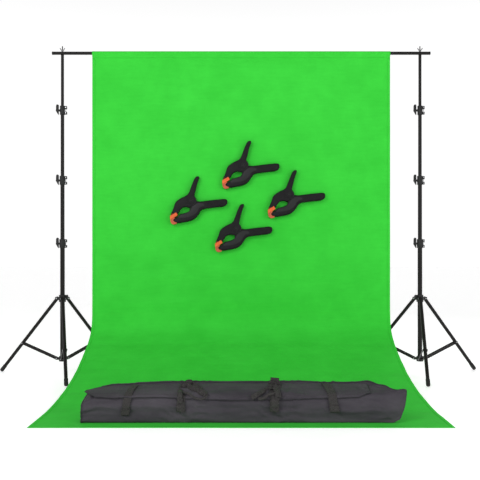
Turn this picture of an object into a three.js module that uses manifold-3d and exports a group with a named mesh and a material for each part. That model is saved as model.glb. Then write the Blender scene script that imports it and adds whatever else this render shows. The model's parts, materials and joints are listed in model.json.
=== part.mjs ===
// Background support system: two folding light stands, a sleeved crossbar, a hanging
// backdrop with a floor sweep, four spring clamps and a carry bag. Millimetres, +Z up.
// The stands stand at the back, the sweep runs forward along -Y.
import * as THREE from 'three';
import { mergeVertices } from 'three/addons/utils/BufferGeometryUtils.js';
import Module from 'manifold-3d';

// ---- driving dimensions -------------------------------------------------
const POLE_X = 1424; // each stand's column, from the middle
const SIDES = 24; // facets of every round tube
const TUBE_R = [18, 16, 14, 12]; // outer radii: column, then the three risers
const WALL = 1.4;
const TUBE_TOP = [1052, 1555, 2113, 2544];
const COLUMN_FOOT = 110;
const TUBE_LAP = 130; // length of each riser left inside the tube below
const COLLAR_Z = [1042, 1545, 2103]; // middle of each lock collar
const BAR_Z = 2557;
const BAR_R = 12.5;
const BAR_BORE = 10.9;
const BAR_HALF = 1500;
const STUD_R = 4;
const STUD_TOP = 2612;

const LEG_R = 13.5;
const PIVOT_R = 45; // leg and brace pivots, from the column's axis
const LEG_PIVOT_Z = 603;
const BRACE_PIVOT_Z = 124;
const BRACE_ON_LEG = 474; // leg pivot to brace pivot, along the leg
const BRACE_LENGTH = 325;
const EAR_IN = 14.1; // clevis ears and brace strips, from the leg's mid plane
const EAR_OUT = 17.1;
const COLLAR_BORE = 18.5;
const COLLAR_R = 27;

const SHEET = 1.6; // cloth thickness
const CLOTH_HALF = 1187;
const SWEEP_TOP = 490;
const CLOTH_FRONT = 1720;

const CLAMP_BACK = -9; // back face of a clamp, in front of the cloth's mid plane
const CLAMP_DEPTH = 38;
const BOSS_R = 42;
const BOSS_GAP = 1.5;
const CHEEK = 16; // front cheek of the upper arm at the pivot

const BAG_FRONT = -1622;
const BAG_BACK = -1396;
const BAG_TOP = 198;

// Stand name, sign of X, azimuth of the front leg and of the leg knob, in degrees
// from straight forward towards +X.
const STANDS = [
  { name: 'left', x: -POLE_X, front: 17, knob: 77 },
  { name: 'right', x: POLE_X, front: -8, knob: -68 },
];
// Clamp name and pivot in the cloth's plane.
const CLAMPS = [
  { name: 'clamp_a', x: -396, z: 1380 },
  { name: 'clamp_b', x: 16, z: 1661 },
  { name: 'clamp_c', x: 377, z: 1429 },
  { name: 'clamp_d', x: -41, z: 1161 },
];

// ---- helpers --------------------------------------------------------------
const wasm = await Module();
wasm.setup();
const group = new THREE.Group();

function plain(geometry) {
  const bare = geometry.index ? geometry.toNonIndexed() : geometry.clone();
  bare.deleteAttribute('normal');
  bare.deleteAttribute('uv');
  return mergeVertices(bare, 1e-3);
}

function signedVolume(positions, index) {
  let sum = 0;
  const a = new THREE.Vector3();
  const b = new THREE.Vector3();
  const c = new THREE.Vector3();
  for (let i = 0; i < index.length; i += 3) {
    a.fromArray(positions, 3 * index[i]);
    b.fromArray(positions, 3 * index[i + 1]);
    c.fromArray(positions, 3 * index[i + 2]);
    sum += a.dot(b.cross(c));
  }
  return sum;
}

// Drops triangles that a merge has closed up, and turns the rest to face out.
function tidyIndex(geometry) {
  const positions = geometry.attributes.position.array;
  const kept = [];
  const index = geometry.index.array;
  for (let i = 0; i < index.length; i += 3) {
    const [a, b, c] = [index[i], index[i + 1], index[i + 2]];
    if (a !== b && b !== c && a !== c) kept.push(a, b, c);
  }
  if (signedVolume(positions, kept) < 0) kept.reverse();
  return { positions, kept };
}

function toSolid(geometry) {
  const { positions, kept } = tidyIndex(plain(geometry));
  const mesh = new wasm.Mesh({
    numProp: 3,
    vertProperties: Float32Array.from(positions),
    triVerts: Uint32Array.from(kept),
  });
  return new wasm.Manifold(mesh);
}

function toGeometry(solid) {
  const mesh = solid.getMesh();
  const geometry = new THREE.BufferGeometry();
  const attribute = new THREE.BufferAttribute(Float32Array.from(mesh.vertProperties), 3);
  geometry.setAttribute('position', attribute);
  geometry.setIndex(Array.from(mesh.triVerts));
  return geometry;
}

function join(...geometries) {
  const solids = geometries.map(toSolid);
  return toGeometry(solids.reduce((sum, next) => sum.add(next)));
}

function cut(geometry, ...tools) {
  return toGeometry(tools.map(toSolid).reduce((rest, tool) => rest.subtract(tool), toSolid(geometry)));
}

function common(first, second) {
  return toGeometry(toSolid(first).intersect(toSolid(second)));
}

// A solid of revolution about Z from [radius, z] pairs.
function turned(profile, sides = SIDES) {
  const points = profile.map(([r, z]) => new THREE.Vector2(r, z));
  return new THREE.LatheGeometry(points, sides).rotateX(Math.PI / 2);
}

function tube(outer, inner, low, high, sides = SIDES) {
  return turned([[inner, low], [outer, low], [outer, high], [inner, high], [inner, low]], sides);
}

function rod(radius, low, high, sides = SIDES) {
  return turned([[0, low], [radius, low], [radius, high], [0, high]], sides);
}

function block(x, y, z) {
  const box = new THREE.BoxGeometry(x[1] - x[0], y[1] - y[0], z[1] - z[0]);
  return box.translate((x[0] + x[1]) / 2, (y[0] + y[1]) / 2, (z[0] + z[1]) / 2);
}

// An outline of [x, z] pairs, given thickness along Y from back to front.
function plateXZ(outline, back, front) {
  const shape = new THREE.Shape(outline.map(([x, z]) => new THREE.Vector2(x, z)));
  const plate = new THREE.ExtrudeGeometry(shape, { depth: back - front, bevelEnabled: false });
  return plate.rotateX(Math.PI / 2).translate(0, back, 0);
}

// An outline of [y, z] pairs, run along X from low to high.
function runYZ(outline, low, high) {
  const shape = new THREE.Shape(outline.map(([y, z]) => new THREE.Vector2(y, z)));
  const run = new THREE.ExtrudeGeometry(shape, { depth: high - low, bevelEnabled: false });
  return run.rotateX(Math.PI / 2).rotateZ(Math.PI / 2).translate(low, 0, 0);
}

function keep(name, geometry, colour, shift = [0, 0, 0]) {
  const { positions, kept } = tidyIndex(plain(geometry));
  const clean = new THREE.BufferGeometry();
  clean.setAttribute('position', new THREE.BufferAttribute(Float32Array.from(positions), 3));
  clean.setIndex(kept);
  clean.translate(...shift);
  clean.computeVertexNormals();
  const material = new THREE.MeshStandardMaterial({ color: colour });
  material.name = name;
  const mesh = new THREE.Mesh(clean, material);
  mesh.name = name;
  group.add(mesh);
}

const COLOUR = {
  tube: 0x1c1b1b,
  casting: 0x121212,
  bright: 0xb9bcc0,
  cloth: 0x3cd63c,
  clamp: 0x232326,
  pad: 0xf0652f,
  bag: 0x3c3b40,
};

// ---- stands ---------------------------------------------------------------
const rad = THREE.MathUtils.degToRad;

// Turns a piece built in the XZ plane to the azimuth of its leg.
function aim(geometry, azimuth) {
  return geometry.rotateZ(rad(azimuth - 90));
}

// Angle from vertical at the end of side a, in a triangle a, b with base d.
function cornerAngle(a, b, d) {
  return Math.acos((a * a + d * d - b * b) / (2 * a * d));
}

const PIVOT_DROP = LEG_PIVOT_Z - BRACE_PIVOT_Z;
const LEG_ANGLE = cornerAngle(BRACE_ON_LEG, BRACE_LENGTH, PIVOT_DROP);
const BRACE_ANGLE = cornerAngle(BRACE_LENGTH, BRACE_ON_LEG, PIVOT_DROP);
const LEG_LENGTH = (LEG_PIVOT_Z - LEG_R * Math.sin(LEG_ANGLE)) / Math.cos(LEG_ANGLE);

function legRod() {
  const leg = rod(LEG_R, -LEG_LENGTH, 10, 16);
  return leg.rotateY(-LEG_ANGLE).translate(PIVOT_R, 0, LEG_PIVOT_Z);
}

function braceStrips() {
  const near = block([-8, 8], [EAR_IN, EAR_OUT], [-9, BRACE_LENGTH + 9]);
  const far = block([-8, 8], [-EAR_OUT, -EAR_IN], [-9, BRACE_LENGTH + 9]);
  const web = block([-7, 7], [-EAR_IN - 1, EAR_IN + 1], [18, 28]);
  const brace = join(near, far, web);
  return brace.rotateY(BRACE_ANGLE).translate(PIVOT_R, 0, BRACE_PIVOT_Z);
}

function legCollar(azimuths) {
  const ring = tube(COLLAR_R, COLLAR_BORE, LEG_PIVOT_Z - 27, LEG_PIVOT_Z + 29);
  const ears = azimuths.flatMap((azimuth) => {
    const span = [LEG_PIVOT_Z - 12, LEG_PIVOT_Z + 12];
    const near = block([20, 56], [EAR_IN, EAR_OUT], span);
    const far = block([20, 56], [-EAR_OUT, -EAR_IN], span);
    return [aim(near, azimuth), aim(far, azimuth)];
  });
  return join(ring, ...ears);
}

function braceCollar(azimuths) {
  const ring = tube(COLLAR_R, COLLAR_BORE, BRACE_PIVOT_Z - 20, BRACE_PIVOT_Z + 20);
  const tongues = azimuths.map((azimuth) => {
    const tongue = block([22, 55], [0.4 - EAR_IN, EAR_IN - 0.4], [BRACE_PIVOT_Z - 9, BRACE_PIVOT_Z + 9]);
    return aim(tongue, azimuth);
  });
  return join(ring, ...tongues);
}

function legKnob(azimuth) {
  const knob = turned([[0, 27.6], [6, 27.6], [6, 34], [13, 36], [13, 45], [0, 47]], 14);
  return aim(knob.rotateY(Math.PI / 2).translate(0, 0, LEG_PIVOT_Z + 18), azimuth);
}

// Split collar at the top of tube number i, centred on z = 0.
function lockCollar(i) {
  const outer = TUBE_R[i] + 6;
  const lip = TUBE_TOP[i] - COLLAR_Z[i] + 0.5;
  const fixedBore = TUBE_R[i] + 0.5;
  const slideBore = TUBE_R[i + 1] + 0.6;
  const ring = turned([
    [fixedBore, -36], [outer, -36], [outer, 34], [slideBore, 34],
    [slideBore, lip], [fixedBore, lip], [fixedBore, -36],
  ]);
  const upper = block([outer - 3, 36], [-9, 9], [8, 32]);
  const lower = block([outer - 3, 36], [-9, 9], [-34, -13]);
  const seat = rod(9, outer - 4, 29.5, 14).rotateY(-Math.PI / 2).translate(0, 0, -2);
  return join(ring, upper, lower, seat);
}

// Paddle-shaped knob on the collar's outer side, on an axis along X.
function lockKnob() {
  const outline = [
    [-30, -37], [-30, 42], [-34, 46], [-40, 48], [-46, 45], [-49, 39],
    [-50, 30], [-50, 2], [-47, -10], [-41, -22], [-35, -31],
  ];
  return plateXZ(outline, 7, -7);
}

function riser(i) {
  const low = TUBE_TOP[i - 1] - TUBE_LAP;
  return tube(TUBE_R[i], TUBE_R[i] - WALL, low, TUBE_TOP[i]);
}

function topRiser() {
  const low = TUBE_TOP[2] - TUBE_LAP;
  const bore = TUBE_R[3] - WALL;
  return turned([
    [0, TUBE_TOP[3] - 20], [bore, TUBE_TOP[3] - 20], [bore, low], [TUBE_R[3], low],
    [TUBE_R[3], TUBE_TOP[3]], [STUD_R, TUBE_TOP[3]], [STUD_R, STUD_TOP], [0, STUD_TOP],
  ]);
}

function addStand({ name, x, front, knob }) {
  const azimuths = [front, front + 120, front - 120];
  const at = [x, 0, 0];
  const column = tube(TUBE_R[0], TUBE_R[0] - WALL, COLUMN_FOOT, TUBE_TOP[0]);
  keep(`${name}_column`, column, COLOUR.tube, at);
  keep(`${name}_riser_1`, riser(1), COLOUR.tube, at);
  keep(`${name}_riser_2`, riser(2), COLOUR.tube, at);
  keep(`${name}_riser_3`, topRiser(), COLOUR.tube, at);
  keep(`${name}_leg_collar`, legCollar(azimuths), COLOUR.casting, at);
  keep(`${name}_brace_collar`, braceCollar(azimuths), COLOUR.casting, at);
  keep(`${name}_leg_knob`, legKnob(knob), COLOUR.casting, at);
  azimuths.forEach((azimuth, n) => {
    keep(`${name}_leg_${n + 1}`, aim(legRod(), azimuth), COLOUR.tube, at);
    keep(`${name}_brace_${n + 1}`, aim(braceStrips(), azimuth), COLOUR.tube, at);
  });
  COLLAR_Z.forEach((z, i) => {
    keep(`${name}_lock_collar_${i + 1}`, lockCollar(i), COLOUR.casting, [x, 0, z]);
    keep(`${name}_lock_knob_${i + 1}`, lockKnob(), COLOUR.casting, [x, 0, z - 2]);
  });
}

// ---- crossbar -------------------------------------------------------------
function alongX(geometry) {
  return geometry.rotateY(Math.PI / 2).translate(0, 0, BAR_Z);
}

function studHole(x) {
  return rod(STUD_R + 0.8, BAR_Z - 20, BAR_Z + 20, 16).translate(x, 0, 0);
}

function addCrossbar() {
  const left = turned([
    [BAR_BORE, -BAR_HALF], [BAR_R, -BAR_HALF], [BAR_R, -0.2], [10.4, -0.2],
    [10.4, 80], [9, 80], [9, -30], [BAR_BORE, -30], [BAR_BORE, -BAR_HALF],
  ]);
  const right = tube(BAR_R, BAR_BORE, 0.2, BAR_HALF);
  keep('crossbar_left', cut(alongX(left), studHole(-POLE_X)), COLOUR.tube);
  keep('crossbar_right', cut(alongX(right), studHole(POLE_X)), COLOUR.tube);
}

function wingNut() {
  const base = BAR_Z + BAR_R + 0.4;
  const hub = tube(8, STUD_R + 0.6, base, base + 14, 16);
  const wing = [[6, base + 3], [22, base + 24], [17, base + 30], [6, base + 12]];
  const mirrored = wing.map(([x, z]) => [-x, z]);
  return join(hub, plateXZ(wing, 2, -2), plateXZ(mirrored, 2, -2));
}

// ---- backdrop ---------------------------------------------------------------
function addBackdrop() {
  const pocket = alongX(tube(BAR_R + 2.6, BAR_R + 0.8, -CLOTH_HALF, CLOTH_HALF));
  const width = [-CLOTH_HALF, CLOTH_HALF];
  const seam = BAR_Z - BAR_R - 1.6;
  const sheet = block(width, [-SHEET / 2, SHEET / 2], [SWEEP_TOP + 0.3, seam]);
  keep('backdrop_drop', join(pocket, sheet), COLOUR.cloth);
  keep('backdrop_sweep', runYZ(sweepOutline(), ...width), COLOUR.cloth);
}

// Section of the curved sweep: its mid line, offset both ways by half the thickness.
function sweepOutline() {
  const knots = [[0, SWEEP_TOP - SHEET / 2], [56, 340], [260, 223], [568, 112], [889, 43], [1140, 14], [1320, 0]];
  const spline = new THREE.SplineCurve(knots.map(([w, z]) => new THREE.Vector2(-w, z + SHEET / 2)));
  const front = [];
  const back = [];
  const steps = 22;
  for (let i = 0; i <= steps; i += 1) {
    const t = i / steps;
    const point = spline.getPoint(t);
    const side = i === 0 ? new THREE.Vector2(0, -1) : spline.getTangent(t);
    if (i === steps) side.set(-1, 0);
    const y = Math.max(point.y, SHEET / 2);
    front.push([point.x + (side.y * SHEET) / 2, y - (side.x * SHEET) / 2]);
    back.push([point.x - (side.y * SHEET) / 2, y + (side.x * SHEET) / 2]);
  }
  front.push([-CLOTH_FRONT, SHEET]);
  back.push([-CLOTH_FRONT, 0]);
  return [...front, ...back.reverse()];
}

// ---- spring clamps ----------------------------------------------------------
const UPPER_ARM = [
  [61, 189], [50, 190], [36, 183], [21, 160], [7, 126], [-7, 84], [-17, 53], [-28, 38], [-43, 29],
  [-68, 21], [-93, 9], [-114, -4], [-126, -19], [-135, -45], [-148, -80], [-158, -108],
  [-119, -90], [-108, -106], [-102, -101], [-93, -84], [-82, -67], [-64, -54], [-39, -50],
  [-14, -36], [26, -28], [26, 10], [25, 40], [34, 78], [46, 130],
];
const UPPER_PAD = [
  [-158.5, -108.8], [-119.2, -90.8], [-108.3, -107], [-107, -114], [-118, -127], [-138, -140],
  [-143, -152], [-162, -152], [-167, -118],
];
const LOWER_ARM = [
  [36, -9], [78, -7], [150, 2], [221, 9], [268, 12], [282, 7], [287, -8], [280, -32], [260, -45],
  [203, -53], [150, -60], [107, -66], [89, -72], [75, -84], [61, -105], [46, -126], [29, -143],
  [7, -156], [-25, -166], [-64, -173], [-100, -180], [-126, -184], [-142, -176], [-146, -158],
  [-140, -155], [-135, -142], [-107, -128], [-86, -109], [-68, -103], [-43, -96], [-21, -87],
  [-11, -76], [-9, -60], [-4, -34], [14, -10],
];

function alongY(geometry) {
  return geometry.rotateX(Math.PI / 2);
}

function addClamp({ name, x, z }) {
  const front = CLAMP_BACK - CLAMP_DEPTH;
  const split = front + CHEEK;
  const clear = BOSS_R + BOSS_GAP;
  const at = [x, 0, z];
  const upper = plateXZ(UPPER_ARM, CLAMP_BACK, front);
  const upperRoom = alongY(rod(clear, -CLAMP_BACK - 1, -split, 32));
  const cheek = alongY(rod(BOSS_R, -split, -front, 32));
  const lower = plateXZ(LOWER_ARM, CLAMP_BACK, front);
  const lowerRoom = alongY(rod(clear, -split - 0.4, -front + 1, 32));
  const tongue = alongY(rod(BOSS_R, -CLAMP_BACK, -split - 0.4, 32));
  keep(`${name}_upper_arm`, join(cut(upper, upperRoom), cheek), COLOUR.clamp, at);
  keep(`${name}_lower_arm`, join(cut(lower, lowerRoom), tongue), COLOUR.clamp, at);
  keep(`${name}_pad`, plateXZ(UPPER_PAD, CLAMP_BACK, front), COLOUR.pad, at);
}

// ---- carry bag --------------------------------------------------------------
function addBag() {
  const low = SHEET + 0.4;
  const section = [
    [BAG_FRONT, low], [BAG_BACK, low], [BAG_BACK, 150], [BAG_BACK - 24, BAG_TOP - 14],
    [BAG_BACK - 60, BAG_TOP - 6], [BAG_FRONT + 60, BAG_TOP - 8], [BAG_FRONT + 22, BAG_TOP - 20],
    [BAG_FRONT + 4, 150],
  ];
  const side = [
    [-916, low], [880, low], [918, 30], [940, 120], [943, 158], [878, 160], [800, 200],
    [-850, 200], [-880, 160], [-906, 140],
  ];
  const body = common(runYZ(section, -950, 950), plateXZ(side, BAG_BACK + 9, BAG_FRONT - 9));
  const outer = [
    [BAG_FRONT - 5, 150], [BAG_FRONT + 17, BAG_TOP - 13], [BAG_FRONT + 58, BAG_TOP],
    [BAG_BACK - 58, BAG_TOP + 2], [BAG_BACK - 58, BAG_TOP - 5.4], [BAG_FRONT + 59, BAG_TOP - 7.4],
    [BAG_FRONT + 20.5, BAG_TOP - 19], [BAG_FRONT + 1, 150],
  ];
  const flapSide = [[-916, 168], [-860, 130], [700, 130], [730, 230], [-830, 230], [-890, 190]];
  const flap = common(runYZ(outer, -950, 950), plateXZ(flapSide, BAG_BACK + 9, BAG_FRONT - 9));
  keep('bag_body', body, COLOUR.bag);
  keep('bag_flap', flap, COLOUR.bag);
}

// ---- assembly ---------------------------------------------------------------
STANDS.forEach(addStand);
addCrossbar();
STANDS.forEach(({ name, x }) => keep(`${name}_wing_nut`, wingNut(), COLOUR.bright, [x, 0, 0]));
addBackdrop();
CLAMPS.forEach(addClamp);
addBag();

// The origin is the middle of the whole box, at the floor.
const box = new THREE.Box3().setFromObject(group);
const middle = box.getCenter(new THREE.Vector3());
for (const mesh of group.children) mesh.geometry.translate(-middle.x, -middle.y, 0);

export default group;
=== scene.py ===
"""Background support system: materials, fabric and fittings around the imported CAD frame."""
import json
import math

import bmesh
import bpy
from mathutils import Matrix, Vector, noise


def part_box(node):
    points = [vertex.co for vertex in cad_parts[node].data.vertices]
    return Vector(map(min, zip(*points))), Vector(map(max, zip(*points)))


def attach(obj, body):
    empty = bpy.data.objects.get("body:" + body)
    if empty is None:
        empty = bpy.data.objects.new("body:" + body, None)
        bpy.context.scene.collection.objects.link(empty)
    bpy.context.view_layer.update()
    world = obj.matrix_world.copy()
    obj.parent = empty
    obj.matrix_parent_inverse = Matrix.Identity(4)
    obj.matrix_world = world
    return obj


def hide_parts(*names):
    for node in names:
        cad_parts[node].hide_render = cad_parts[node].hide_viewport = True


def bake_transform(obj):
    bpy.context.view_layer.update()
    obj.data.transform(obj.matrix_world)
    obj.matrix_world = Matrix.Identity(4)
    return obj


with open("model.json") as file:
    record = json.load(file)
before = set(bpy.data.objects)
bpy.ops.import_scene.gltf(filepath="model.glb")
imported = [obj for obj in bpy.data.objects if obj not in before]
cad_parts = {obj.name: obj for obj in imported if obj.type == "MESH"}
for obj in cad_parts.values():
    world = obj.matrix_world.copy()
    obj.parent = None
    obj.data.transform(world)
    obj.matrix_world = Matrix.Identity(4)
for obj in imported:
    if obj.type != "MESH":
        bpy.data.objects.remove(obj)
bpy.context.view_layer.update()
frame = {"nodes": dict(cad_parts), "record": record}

STANDS = ("left", "right")
CLAMPS = ("clamp_a", "clamp_b", "clamp_c", "clamp_d")
SIDES = 32  # facets of small round fittings
MM = 0.001
FACING = Matrix.Rotation(math.radians(90), 4, "X")  # turns a piece made about Z to face -Y


def centre(node):
    low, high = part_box(node)
    return (low + high) / 2


# ---- places read from the frame ----
POLE = {s: centre(f"{s}_column") for s in STANDS}
MID_X = (POLE["left"].x + POLE["right"].x) / 2
POLE_Y = POLE["left"].y
BAR = centre("crossbar_right")
BAR_LOW, BAR_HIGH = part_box("crossbar_right")
BAR_R = (BAR_HIGH.z - BAR_LOW.z) / 2
CLOTH_LOW, CLOTH_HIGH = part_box("backdrop_sweep")
CLOTH_HALF = (CLOTH_HIGH.x - CLOTH_LOW.x) / 2
SWEEP_TOP = CLOTH_HIGH.z
BAG_LOW, BAG_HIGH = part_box("bag_body")
CLAMP_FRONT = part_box("clamp_a_lower_arm")[0].y
CLAMP_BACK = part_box("clamp_a_lower_arm")[1].y
JOINTS = {j["name"]: j for j in frame["record"]["behaviour"]["joints"]}


def joint_place(name):
    return Vector(JOINTS[name]["pos_m"])


def joint_axis(name):
    return Vector(JOINTS[name]["axis"])


# ---- materials ----
def set_sockets(node, **values):
    """Sets sockets by name, with _ for each space."""
    for name, value in values.items():
        node.inputs[name.replace("_", " ")].default_value = value


class Nodes:
    """A small builder for one node material."""

    def __init__(self, name, colour, rough, metallic=0.0, specular=0.5):
        self.material = bpy.data.materials.new(name)
        self.material.use_nodes = True
        self.tree = self.material.node_tree
        self.shader = self.tree.nodes["Principled BSDF"]
        set_sockets(self.shader, Base_Color=(*colour, 1), Roughness=rough, Metallic=metallic,
                    Specular_IOR_Level=specular)
        self.material.diffuse_color = (*colour, 1)
        self.place = self.add("ShaderNodeTexCoord").outputs["Object"]
        self.height = None

    def add(self, kind, **settings):
        node = self.tree.nodes.new(kind)
        for key, value in settings.items():
            setattr(node, key, value)
        return node

    def link(self, source, target):
        self.tree.links.new(source, target)

    def scaled(self, scale):
        mapping = self.add("ShaderNodeMapping")
        set_sockets(mapping, Scale=scale)
        self.link(self.place, mapping.inputs["Vector"])
        return mapping.outputs["Vector"]

    def noise(self, scale, detail=4.0, rough=0.55, stretch=(1, 1, 1)):
        node = self.add("ShaderNodeTexNoise")
        set_sockets(node, Scale=scale, Detail=detail, Roughness=rough)
        self.link(self.scaled(stretch), node.inputs["Vector"])
        return node.outputs["Fac"]

    def wave(self, axis, scale, distortion=0.0):
        node = self.add("ShaderNodeTexWave", bands_direction=axis)
        set_sockets(node, Scale=scale, Distortion=distortion)
        self.link(self.place, node.inputs["Vector"])
        return node.outputs["Fac"]

    def span(self, fac, low, high, start=0.3, end=0.7):
        node = self.add("ShaderNodeMapRange")
        set_sockets(node, From_Min=start, From_Max=end, To_Min=low, To_Max=high)
        self.link(fac, node.inputs["Value"])
        return node.outputs["Result"]

    def math(self, operation, a, b):
        node = self.add("ShaderNodeMath", operation=operation)
        for value, socket in zip((a, b), node.inputs):
            if isinstance(value, (int, float)):
                socket.default_value = value
            else:
                self.link(value, socket)
        return node.outputs["Value"]

    def colours(self, fac, first, second):
        node = self.add("ShaderNodeMix", data_type="RGBA")
        set_sockets(node, A=(*first, 1), B=(*second, 1))
        self.link(fac, node.inputs["Factor"])
        self.link(node.outputs["Result"], self.shader.inputs["Base Color"])

    def roughness(self, value):
        self.link(value, self.shader.inputs["Roughness"])

    def bump(self, height, distance, strength=1.0):
        node = self.add("ShaderNodeBump")
        set_sockets(node, Distance=distance, Strength=strength)
        self.link(height, node.inputs["Height"])
        if self.height is not None:
            self.link(self.height, node.inputs["Normal"])
        self.height = node.outputs["Normal"]
        self.link(self.height, self.shader.inputs["Normal"])


def paint_material():
    m = Nodes("black_paint", (0.012, 0.011, 0.011), 0.34, specular=0.15)
    fine = m.noise(900, 2)
    marks = m.noise(30, 5, 0.6, (1, 1, 0.15))
    m.colours(m.span(marks, 0, 1), (0.006, 0.0054, 0.0052), (0.0135, 0.0122, 0.0118))
    m.roughness(m.span(marks, 0.32, 0.46))
    m.bump(fine, 0.00005, 0.5)
    return m.material


def moulding_material(name, dark, light, rough=(0.45, 0.62), specular=0.3):
    m = Nodes(name, dark, rough[0], specular=specular)
    grain = m.noise(700, 3, 0.6)
    patches = m.noise(24, 4)
    m.colours(m.span(patches, 0, 1), dark, light)
    m.roughness(m.span(patches, *rough))
    m.bump(grain, 0.00018, 0.7)
    return m.material


def metal_material(name, dark, light):
    m = Nodes(name, dark, 0.3, metallic=1.0)
    brushed = m.noise(260, 4, 0.6, (1, 1, 0.2))
    m.colours(m.span(brushed, 0, 1), dark, light)
    m.roughness(m.span(brushed, 0.24, 0.4))
    m.bump(brushed, 0.00003, 0.5)
    return m.material


def weave(m, scale, distortion, distance):
    """Bumps for a plain weave, and where its threads stand out."""
    threads = m.math("MULTIPLY", m.wave("X", scale, distortion), m.wave("Z", scale, distortion))
    m.bump(threads, distance, 0.6)
    return threads


def cloth_material(name, dark, light):
    m = Nodes(name, light, 0.82, specular=0.12)
    set_sockets(m.shader, Sheen_Weight=0.06, Sheen_Roughness=0.5, Sheen_Tint=(0.3, 1, 0.3, 1))
    mottle = m.noise(5.5, 6, 0.62)
    slubs = m.noise(60, 3, 0.6, (0.15, 1, 1))
    threads = weave(m, 420, 0.6, 0.00025)
    tone = m.math("ADD", m.math("MULTIPLY", mottle, 0.75), m.math("MULTIPLY", slubs, 0.25))
    m.colours(m.span(m.math("ADD", tone, m.math("MULTIPLY", threads, 0.06)), 0, 1, 0.36, 0.68), dark, light)
    m.roughness(m.span(mottle, 0.76, 0.9))
    m.bump(slubs, 0.0004, 0.35)
    return m.material


def nylon_material():
    m = Nodes("bag_nylon", (0.05, 0.045, 0.055), 0.6, specular=0.07)
    set_sockets(m.shader, Sheen_Weight=0.02, Sheen_Roughness=0.4)
    mottle = m.noise(9, 5, 0.6, (0.4, 1, 1))
    weave(m, 330, 0.4, 0.0003)
    m.colours(m.span(mottle, 0, 1), (0.044, 0.0395, 0.048), (0.075, 0.068, 0.080))
    m.roughness(m.span(mottle, 0.54, 0.7))
    m.bump(m.noise(40, 4, 0.6, (0.5, 1, 1)), 0.0012, 0.4)
    return m.material


def webbing_material():
    m = Nodes("bag_webbing", (0.07, 0.068, 0.066), 0.7, specular=0.2)
    ribs = m.math("MULTIPLY", m.wave("DIAGONAL", 150, 1.5), m.wave("Z", 210, 0.8))
    m.colours(m.span(ribs, 0, 1, 0.1, 0.8), (0.029, 0.0265, 0.0265), (0.115, 0.107, 0.105))
    m.bump(ribs, 0.0012, 0.9)
    return m.material


PAINT = paint_material()
CASTING = moulding_material("black_moulding", (0.006, 0.006, 0.0065), (0.014, 0.014, 0.0145))
CLAMP_NYLON = moulding_material(
    "clamp_nylon", (0.005, 0.0046, 0.0055), (0.0095, 0.009, 0.0105), (0.42, 0.56), 0.16)
# Painted light: a lighter copy of the clamp nylon, for the web panel, the hub ring and the arc on the boss,
# where light falls on the moulding.
CLAMP_NYLON_LIT = moulding_material("clamp_nylon_painted_light", (0.0105, 0.0105, 0.012), (0.017, 0.017, 0.0185), (0.36, 0.5), 0.24)
PAD_RUBBER = moulding_material("pad_rubber", (0.66, 0.09, 0.02), (0.8, 0.14, 0.035), (0.42, 0.58))
# Painted shade: a darker copy of the pad rubber for the lower pad, which sits under the upper jaw's tip.
PAD_RUBBER_SHADED = moulding_material("pad_rubber_painted_shade", (0.42, 0.075, 0.035), (0.55, 0.11, 0.055), (0.42, 0.58))
FOOT_RUBBER = moulding_material("foot_rubber", (0.008, 0.008, 0.008), (0.016, 0.016, 0.016), (0.6, 0.75))
METAL = metal_material("plated_steel", (0.34, 0.34, 0.35), (0.55, 0.56, 0.57))
WING_METAL = metal_material("wing_nut_alloy", (0.1, 0.1, 0.104), (0.18, 0.18, 0.185))
GREEN = cloth_material("green_cloth", (0.033, 0.535, 0.036), (0.045, 0.615, 0.048))
# Painted shade: the hem cloth is a shade darker than the sheet, standing in for less light coming through the
# doubled cloth.
GREEN_HEM_SHADED = cloth_material("green_hem_painted_shade", (0.0325, 0.53, 0.0355), (0.0445, 0.61, 0.0475))
NYLON = nylon_material()
WEBBING = webbing_material()
THREAD = moulding_material("bag_thread", (0.05, 0.048, 0.048), (0.08, 0.076, 0.074), (0.6, 0.8))
BINDING = moulding_material("bag_binding", (0.018, 0.017, 0.02), (0.032, 0.031, 0.035), (0.6, 0.75))


# ---- mesh helpers ----
def linked(name, data):
    obj = bpy.data.objects.new(name, data)
    bpy.context.collection.objects.link(obj)
    return obj


def mesh_object(name, verts, faces, material, smooth=True):
    mesh = bpy.data.meshes.new(name)
    mesh.from_pydata([tuple(v) for v in verts], [], faces)
    mesh.update()
    mesh.materials.append(material)
    if smooth:
        mesh.polygons.foreach_set("use_smooth", [True] * len(mesh.polygons))
    return linked(name, mesh)


def bake_modifiers(obj):
    """Replaces an object's data by its evaluated mesh."""
    graph = bpy.context.evaluated_depsgraph_get()
    mesh = bpy.data.meshes.new_from_object(obj.evaluated_get(graph))
    if obj.type == "MESH":
        obj.modifiers.clear()
        obj.data = mesh
        return obj
    made = linked(obj.name + "_mesh", mesh)
    made.matrix_world = obj.matrix_world
    name = obj.name
    bpy.data.objects.remove(obj)
    made.name = name
    return made


def grid_faces(columns, rows):
    wide = columns + 1
    corners = [j * wide + i for j in range(rows) for i in range(columns)]
    return [(a, a + 1, a + wide + 1, a + wide) for a in corners]


def grid_surface(name, columns, rows, point, material):
    verts = [point(i / columns, j / rows) for j in range(rows + 1) for i in range(columns + 1)]
    return mesh_object(name, verts, grid_faces(columns, rows), material)


def thicken(obj, thickness, offset=0.0):
    solid = obj.modifiers.new("thickness", "SOLIDIFY")
    solid.thickness = thickness
    solid.offset = offset
    return bake_modifiers(obj)


def shade(obj, angle):
    """Smooth shading between edges sharper than an angle in degrees."""
    for polygon in obj.data.polygons:
        polygon.use_smooth = True
    crisp = obj.modifiers.new("crisp_edges", "EDGE_SPLIT")
    crisp.split_angle = math.radians(angle)


def smooth_sides(obj, width):
    """Eases a CAD node's edges and shades its round sides smooth, by modifiers."""
    weld = obj.modifiers.new("weld", "WELD")
    weld.merge_threshold = 1e-5
    if width:
        edge = obj.modifiers.new("edges", "BEVEL")
        edge.width = width
        edge.segments = 2
        edge.limit_method = "ANGLE"
        edge.angle_limit = math.radians(35)
        edge.use_clamp_overlap = True
    shade(obj, 32)


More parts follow.
